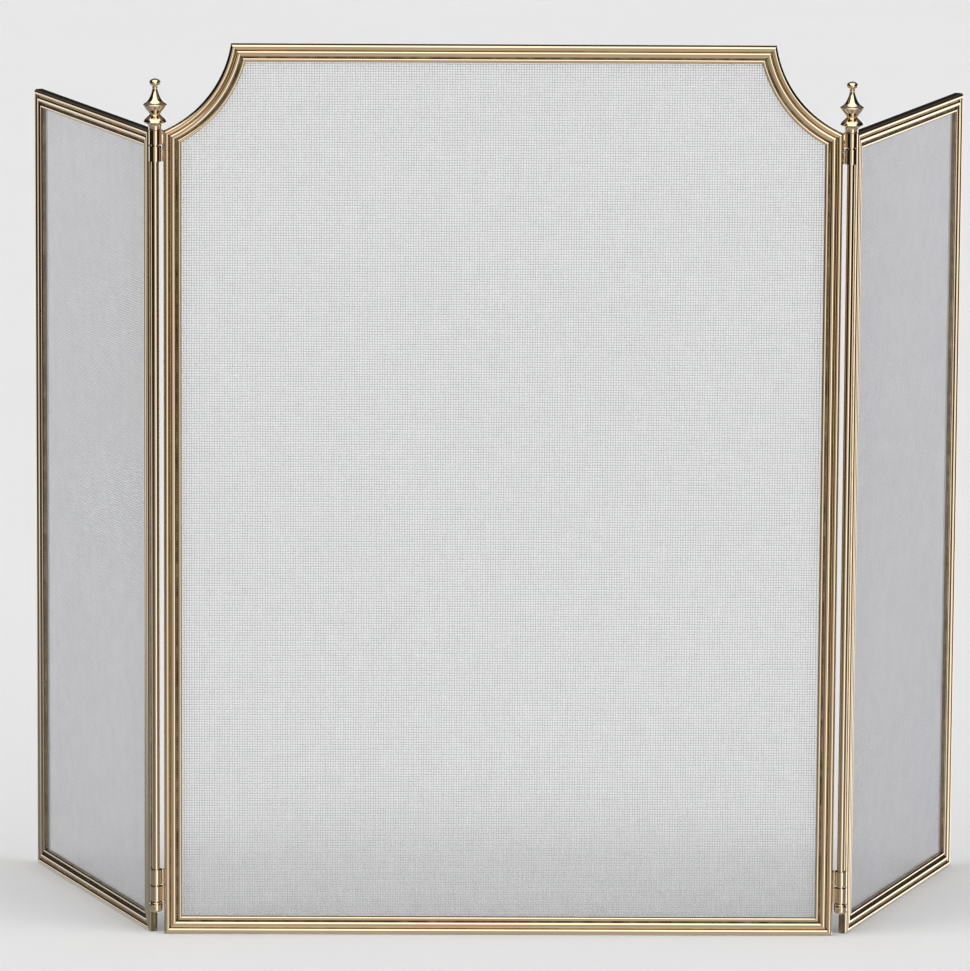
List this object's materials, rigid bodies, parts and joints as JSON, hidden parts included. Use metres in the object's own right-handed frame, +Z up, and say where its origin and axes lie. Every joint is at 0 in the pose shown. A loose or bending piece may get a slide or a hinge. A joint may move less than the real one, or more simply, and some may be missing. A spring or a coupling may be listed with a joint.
{
  "type": "fireplace screen",
  "caption": "Folding brass fireplace screen with a scooped centre panel, two hinged side wings, reeded frames, finials and fine wire mesh.",
  "frame": {"origin": "middle of the centre panel's underside, on the floor, at half the frame's thickness", "axes": "+X across the centre panel to the viewer's right, +Y back towards the hearth, +Z up"},
  "size_m": [0.8868, 0.3024, 0.838],
  "materials": {
    "polished_brass": "polished and lacquered",
    "mesh_wire": "satin woven wire",
    "plated_steel": "zinc plated, satin"
  },
  "bodies": {
    "centre_panel": {"centre_top_rail": "polished_brass", "centre_top_rail_retainer": "plated_steel", "centre_key_top_rail_to_right_scoop": "plated_steel", "centre_right_scoop": "polished_brass", "centre_right_scoop_retainer": "plated_steel", "centre_key_right_scoop_to_right_stile": "plated_steel", "centre_right_stile": "polished_brass", "centre_right_stile_retainer": "plated_steel", "centre_key_right_stile_to_bottom_rail": "plated_steel", "centre_bottom_rail": "polished_brass", "centre_bottom_rail_retainer": "plated_steel", "centre_key_bottom_rail_to_left_stile": "plated_steel", "centre_left_stile": "polished_brass", "centre_left_stile_retainer": "plated_steel", "centre_key_left_stile_to_left_scoop": "plated_steel", "centre_left_scoop": "polished_brass", "centre_left_scoop_retainer": "plated_steel", "centre_key_left_scoop_to_top_rail": "plated_steel", "centre_mesh": "mesh_wire", "left_hinge_rod": "polished_brass", "left_finial": "polished_brass", "left_cap_nut": "polished_brass", "left_upper_leaf_centre": "polished_brass", "left_lower_leaf_centre": "polished_brass", "right_hinge_rod": "polished_brass", "right_finial": "polished_brass", "right_cap_nut": "polished_brass", "right_upper_leaf_centre": "polished_brass", "right_lower_leaf_centre": "polished_brass"},
    "left_panel": {"left_top_rail": "polished_brass", "left_top_rail_retainer": "plated_steel", "left_key_top_rail_to_hinge_stile": "plated_steel", "left_hinge_stile": "polished_brass", "left_hinge_stile_retainer": "plated_steel", "left_key_hinge_stile_to_bottom_rail": "plated_steel", "left_bottom_rail": "polished_brass", "left_bottom_rail_retainer": "plated_steel", "left_key_bottom_rail_to_outer_stile": "plated_steel", "left_outer_stile": "polished_brass", "left_outer_stile_retainer": "plated_steel", "left_key_outer_stile_to_top_rail": "plated_steel", "left_mesh": "mesh_wire", "left_upper_leaf_side": "polished_brass", "left_lower_leaf_side": "polished_brass"},
    "right_panel": {"right_top_rail": "polished_brass", "right_top_rail_retainer": "plated_steel", "right_key_top_rail_to_outer_stile": "plated_steel", "right_outer_stile": "polished_brass", "right_outer_stile_retainer": "plated_steel", "right_key_outer_stile_to_bottom_rail": "plated_steel", "right_bottom_rail": "polished_brass", "right_bottom_rail_retainer": "plated_steel", "right_key_bottom_rail_to_hinge_stile": "plated_steel", "right_hinge_stile": "polished_brass", "right_hinge_stile_retainer": "plated_steel", "right_key_hinge_stile_to_top_rail": "plated_steel", "right_mesh": "mesh_wire", "right_upper_leaf_side": "polished_brass", "right_lower_leaf_side": "polished_brass"}
  },
  "joints": [
    {"name": "left_fold", "type": "hinge", "parent": "centre_panel", "child": "left_panel", "pos_m": [-0.32025, 0, 0], "axis": [0, 0, -1], "range_deg": [-67.5, 52.5]},
    {"name": "right_fold", "type": "hinge", "parent": "centre_panel", "child": "right_panel", "pos_m": [0.32025, 0, 0], "axis": [0, 0, 1], "range_deg": [-67.5, 52.5]}
  ]
}
